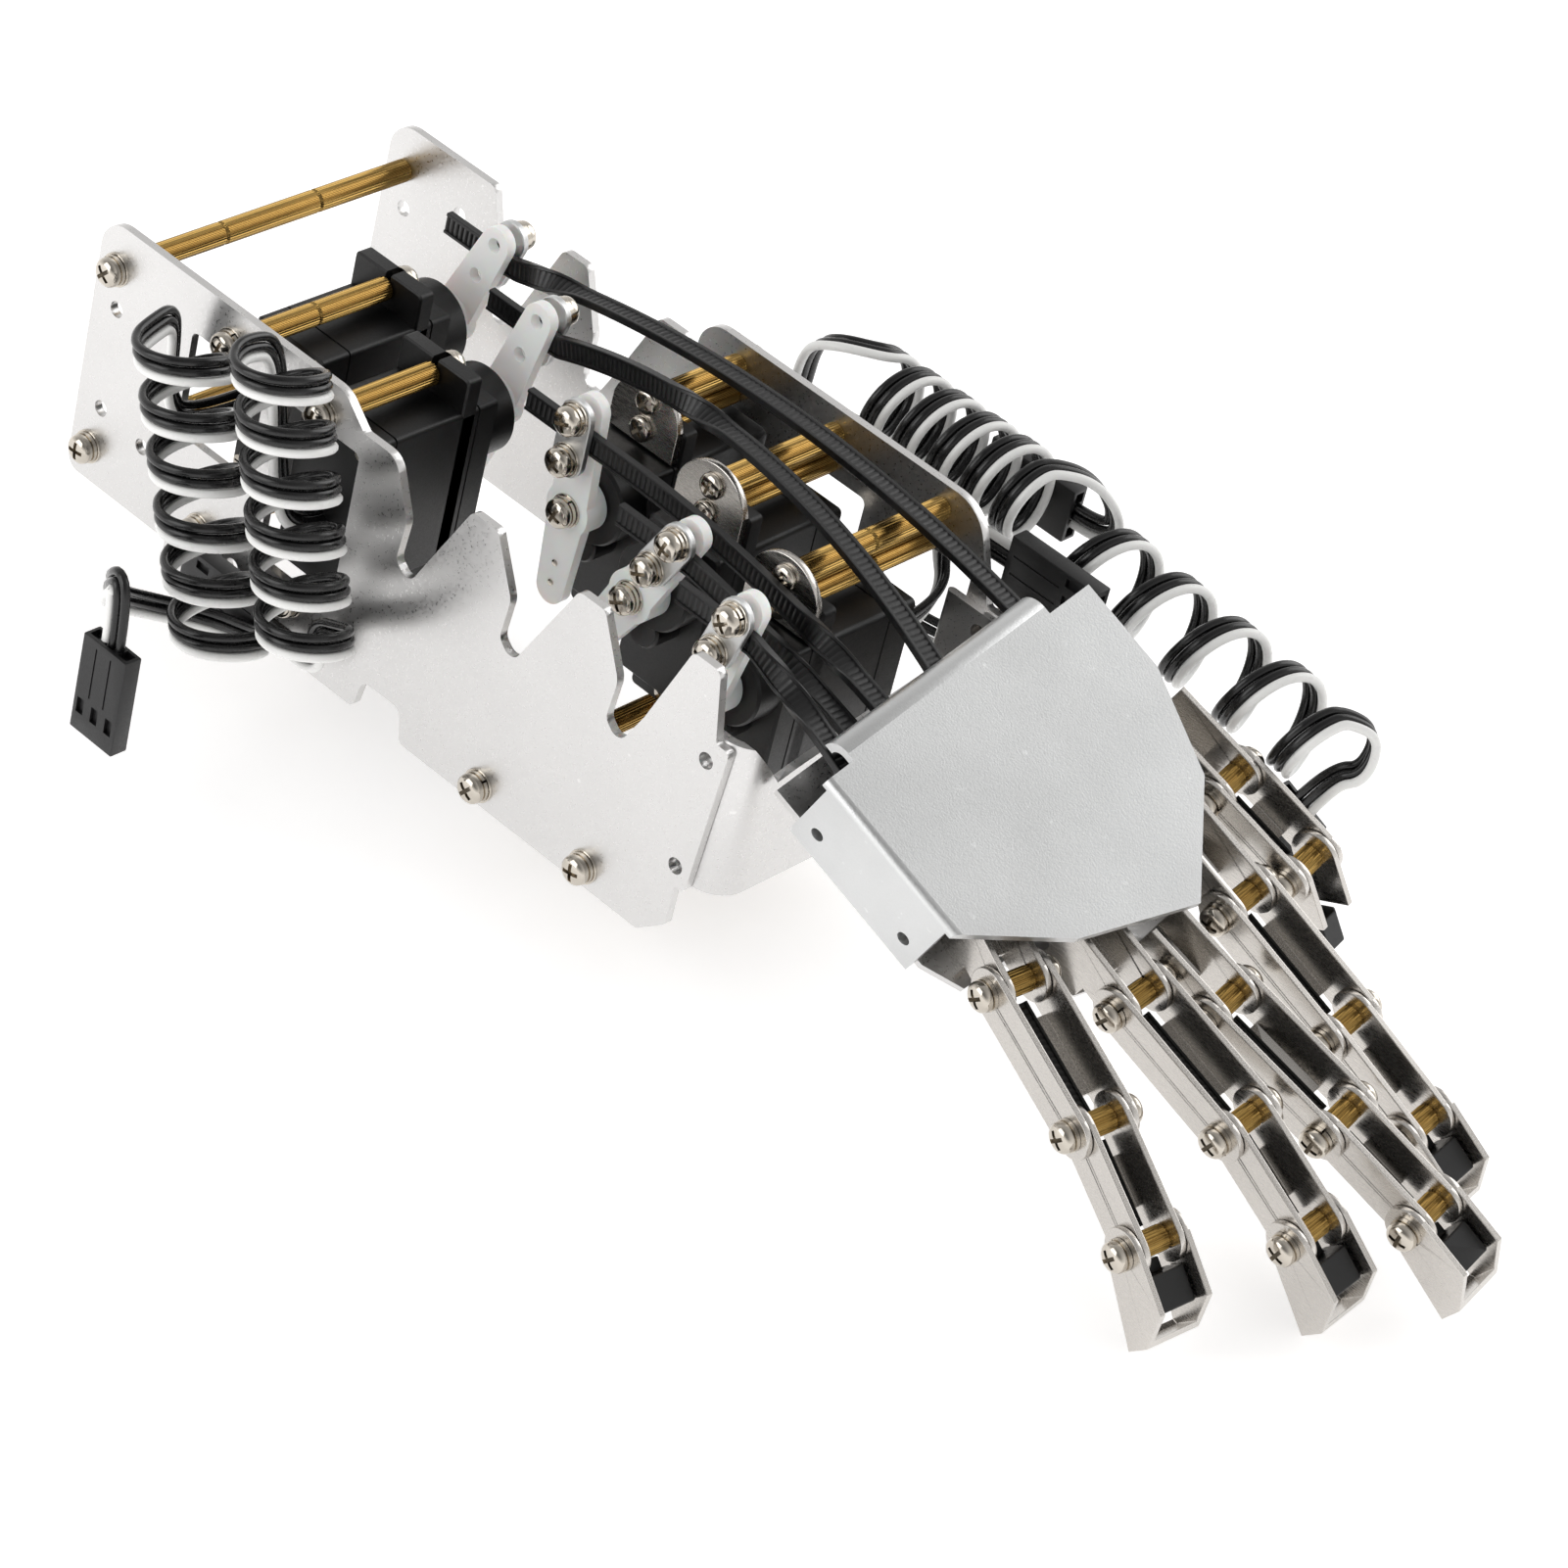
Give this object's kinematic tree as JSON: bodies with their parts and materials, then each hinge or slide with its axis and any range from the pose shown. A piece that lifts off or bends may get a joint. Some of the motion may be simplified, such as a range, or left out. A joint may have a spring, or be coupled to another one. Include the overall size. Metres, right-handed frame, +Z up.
{
  "type": "robotic hand",
  "caption": "Robotic hand with jointed channel fingers and a thumb, pulled by plastic strap tendons from servos between two sheet metal side plates.",
  "frame": {"origin": "on the axis of the lower mounting hole at the rear of the side plates, half way between the two plates", "axes": "+X from the elbow to the fingertips, +Y from the near side plate to the far one, +Z up, to the back of the hand"},
  "size_m": [0.2041, 0.1046, 0.0626],
  "materials": {
    "sheet_aluminium": "matte",
    "brass": "knurled",
    "steel": "satin",
    "servo_case": "matte",
    "nylon": "satin",
    "strap_nylon": "matte",
    "black_nylon": "matte",
    "lead_plastic": "satin"
  },
  "bodies": {
    "frame": {"far_side_plate": "sheet_aluminium", "frame_screws": "steel", "knuckle_brackets": "sheet_aluminium", "knuckle_pins": "brass", "lead_1": "lead_plastic", "lead_2": "lead_plastic", "lead_3": "lead_plastic", "lead_4": "lead_plastic", "lead_5": "lead_plastic", "lead_plugs": "lead_plastic", "near_side_plate": "sheet_aluminium", "palm_cover": "sheet_aluminium", "servo_1": "servo_case", "servo_2": "servo_case", "servo_3": "servo_case", "servo_4": "servo_case", "servo_5": "servo_case", "servo_ear_plates": "sheet_aluminium", "standoffs": "brass", "wrist_bracket": "sheet_aluminium"},
    "horn_1": {"servo_horn_1": "nylon", "horn_clamp_1": "steel"},
    "strap_1": {"strap_1": "strap_nylon"},
    "horn_2": {"servo_horn_2": "nylon", "horn_clamp_2": "steel"},
    "strap_2": {"strap_2": "strap_nylon"},
    "horn_3": {"servo_horn_3": "nylon", "horn_clamp_3": "steel"},
    "strap_3": {"strap_3": "strap_nylon"},
    "horn_4": {"servo_horn_4": "nylon", "horn_clamp_4": "steel"},
    "strap_4": {"strap_4": "strap_nylon"},
    "horn_5": {"servo_horn_5": "nylon", "horn_clamp_5": "steel"},
    "strap_5": {"strap_5": "strap_nylon"},
    "finger_1_proximal": {"finger_1_proximal": "sheet_aluminium"},
    "finger_1_middle": {"finger_1_middle": "sheet_aluminium", "finger_1_pins": "brass"},
    "finger_1_tip": {"finger_1_tip": "sheet_aluminium", "strap_head_1": "black_nylon"},
    "finger_2_proximal": {"finger_2_proximal": "sheet_aluminium"},
    "finger_2_middle": {"finger_2_middle": "sheet_aluminium", "finger_2_pins": "brass"},
    "finger_2_tip": {"finger_2_tip": "sheet_aluminium", "strap_head_2": "black_nylon"},
    "finger_3_proximal": {"finger_3_proximal": "sheet_aluminium"},
    "finger_3_middle": {"finger_3_middle": "sheet_aluminium", "finger_3_pins": "brass"},
    "finger_3_tip": {"finger_3_tip": "sheet_aluminium", "strap_head_3": "black_nylon"},
    "finger_4_proximal": {"finger_4_proximal": "sheet_aluminium"},
    "finger_4_middle": {"finger_4_middle": "sheet_aluminium", "finger_4_pins": "brass"},
    "finger_4_tip": {"finger_4_tip": "sheet_aluminium", "strap_head_4": "black_nylon"},
    "thumb_proximal": {"thumb_proximal": "sheet_aluminium"},
    "thumb_tip": {"thumb_tip": "sheet_aluminium", "thumb_pin": "brass", "strap_head_5": "black_nylon"}
  },
  "joints": [
    {"name": "servo_1_turn", "type": "hinge", "parent": "frame", "child": "horn_1", "pos_m": [0.0201, 0.01455, 0.0133], "axis": [0, -1, 0], "range_deg": [0, 40]},
    {"name": "strap_1_level", "type": "hinge", "parent": "horn_1", "child": "strap_1", "pos_m": [0.02403, 0.01595, 0.02411], "axis": [0, -1, 0], "range_deg": [-40, 0]},
    {"name": "servo_2_turn", "type": "hinge", "parent": "frame", "child": "horn_2", "pos_m": [0.0371, 0.00655, 0.0133], "axis": [0, -1, 0], "range_deg": [0, 35]},
    {"name": "strap_2_level", "type": "hinge", "parent": "horn_2", "child": "strap_2", "pos_m": [0.04008, 0.00795, 0.02441], "axis": [0, -1, 0], "range_deg": [-35, 0]},
    {"name": "servo_3_turn", "type": "hinge", "parent": "frame", "child": "horn_3", "pos_m": [0.0591, -0.00255, 0.0133], "axis": [0, -1, 0], "range_deg": [0, 25]},
    {"name": "strap_3_level", "type": "hinge", "parent": "horn_3", "child": "strap_3", "pos_m": [0.0591, -0.00395, 0.0248], "axis": [0, -1, 0], "range_deg": [-25, 0]},
    {"name": "servo_4_turn", "type": "hinge", "parent": "frame", "child": "horn_4", "pos_m": [0.0761, -0.00855, 0.0133], "axis": [0, -1, 0], "range_deg": [0, 40]},
    {"name": "strap_4_level", "type": "hinge", "parent": "horn_4", "child": "strap_4", "pos_m": [0.08132, -0.00995, 0.02355], "axis": [0, -1, 0], "range_deg": [-40, 0]},
    {"name": "servo_5_turn", "type": "hinge", "parent": "frame", "child": "horn_5", "pos_m": [0.0941, -0.01455, 0.0133], "axis": [0, -1, 0], "range_deg": [0, 30]},
    {"name": "strap_5_level", "type": "hinge", "parent": "horn_5", "child": "strap_5", "pos_m": [0.09708, -0.01595, 0.02441], "axis": [0, -1, 0], "range_deg": [-30, 0]},
    {"name": "finger_1_root_bend", "type": "hinge", "parent": "frame", "child": "finger_1_proximal", "pos_m": [0.1451, -0.012, 0.00314], "axis": [0.1769, 0.9796, 0.0956], "range_deg": [0, 56.5]},
    {"name": "finger_1_middle_bend", "type": "hinge", "parent": "finger_1_proximal", "child": "finger_1_middle", "pos_m": [0.16238, -0.01438, -0.0044], "axis": [0.1769, 0.9796, 0.0956], "range_deg": [0, 56.5]},
    {"name": "finger_1_tip_bend", "type": "hinge", "parent": "finger_1_middle", "child": "finger_1_tip", "pos_m": [0.17438, -0.01571, -0.01295], "axis": [0.1769, 0.9796, 0.0956], "range_deg": [0, 39.7]},
    {"name": "finger_2_root_bend", "type": "hinge", "parent": "frame", "child": "finger_2_proximal", "pos_m": [0.15368, 0.00082, 0.00128], "axis": [0.0056, 0.9834, 0.1815], "range_deg": [0, 56.5]},
    {"name": "finger_2_middle_bend", "type": "hinge", "parent": "finger_2_proximal", "child": "finger_2_middle", "pos_m": [0.17141, 0.00196, -0.00545], "axis": [0.0056, 0.9834, 0.1815], "range_deg": [0, 56.5]},
    {"name": "finger_2_tip_bend", "type": "hinge", "parent": "finger_2_middle", "child": "finger_2_tip", "pos_m": [0.18352, 0.00344, -0.01382], "axis": [0.0056, 0.9834, 0.1815], "range_deg": [0, 39.7]},
    {"name": "finger_3_root_bend", "type": "hinge", "parent": "frame", "child": "finger_3_proximal", "pos_m": [0.15967, 0.01072, 0.00015], "axis": [-0.0884, 0.9702, 0.2257], "range_deg": [0, 56.5]},
    {"name": "finger_3_middle_bend", "type": "hinge", "parent": "finger_3_proximal", "child": "finger_3_middle", "pos_m": [0.17719, 0.01385, -0.00648], "axis": [-0.0884, 0.9702, 0.2257], "range_deg": [0, 56.5]},
    {"name": "finger_3_tip_bend", "type": "hinge", "parent": "finger_3_middle", "child": "finger_3_tip", "pos_m": [0.19065, 0.01639, -0.0121], "axis": [-0.0884, 0.9702, 0.2257], "range_deg": [0, 39.7]},
    {"name": "finger_4_root_bend", "type": "hinge", "parent": "frame", "child": "finger_4_proximal", "pos_m": [0.15192, 0.02084, 0.0059], "axis": [-0.0415, 0.9781, 0.2039], "range_deg": [0, 56.5]},
    {"name": "finger_4_middle_bend", "type": "hinge", "parent": "finger_4_proximal", "child": "finger_4_middle", "pos_m": [0.16883, 0.02329, -0.00242], "axis": [-0.0415, 0.9781, 0.2039], "range_deg": [0, 56.5]},
    {"name": "finger_4_tip_bend", "type": "hinge", "parent": "finger_4_middle", "child": "finger_4_tip", "pos_m": [0.18163, 0.02533, -0.00958], "axis": [-0.0415, 0.9781, 0.2039], "range_deg": [0, 39.7]},
    {"name": "thumb_root_bend", "type": "hinge", "parent": "frame", "child": "thumb_proximal", "pos_m": [0.14094, 0.02874, 0.01284], "axis": [-0.104, 0.9669, 0.2329], "range_deg": [0, 48.5]},
    {"name": "thumb_tip_bend", "type": "hinge", "parent": "thumb_proximal", "child": "thumb_tip", "pos_m": [0.1528, 0.03133, 0.00742], "axis": [-0.104, 0.9669, 0.2329], "range_deg": [0, 40.5]}
  ],
  "couplings": [
    {"joint": "strap_1_level", "follows": "servo_1_turn", "ratio": -1},
    {"joint": "strap_2_level", "follows": "servo_2_turn", "ratio": -1},
    {"joint": "strap_3_level", "follows": "servo_3_turn", "ratio": -1},
    {"joint": "strap_4_level", "follows": "servo_4_turn", "ratio": -1},
    {"joint": "strap_5_level", "follows": "servo_5_turn", "ratio": -1},
    {"joint": "finger_1_root_bend", "follows": "servo_5_turn", "ratio": 1.867},
    {"joint": "finger_1_middle_bend", "follows": "servo_5_turn", "ratio": 1.867},
    {"joint": "finger_1_tip_bend", "follows": "servo_5_turn", "ratio": 1.307},
    {"joint": "finger_2_root_bend", "follows": "servo_4_turn", "ratio": 1.4},
    {"joint": "finger_2_middle_bend", "follows": "servo_4_turn", "ratio": 1.4},
    {"joint": "finger_2_tip_bend", "follows": "servo_4_turn", "ratio": 0.98},
    {"joint": "finger_3_root_bend", "follows": "servo_3_turn", "ratio": 2.24},
    {"joint": "finger_3_middle_bend", "follows": "servo_3_turn", "ratio": 2.24},
    {"joint": "finger_3_tip_bend", "follows": "servo_3_turn", "ratio": 1.568},
    {"joint": "finger_4_root_bend", "follows": "servo_2_turn", "ratio": 1.6},
    {"joint": "finger_4_middle_bend", "follows": "servo_2_turn", "ratio": 1.6},
    {"joint": "finger_4_tip_bend", "follows": "servo_2_turn", "ratio": 1.12},
    {"joint": "thumb_root_bend", "follows": "servo_1_turn", "ratio": 1.2},
    {"joint": "thumb_tip_bend", "follows": "servo_1_turn", "ratio": 1}
  ]
}
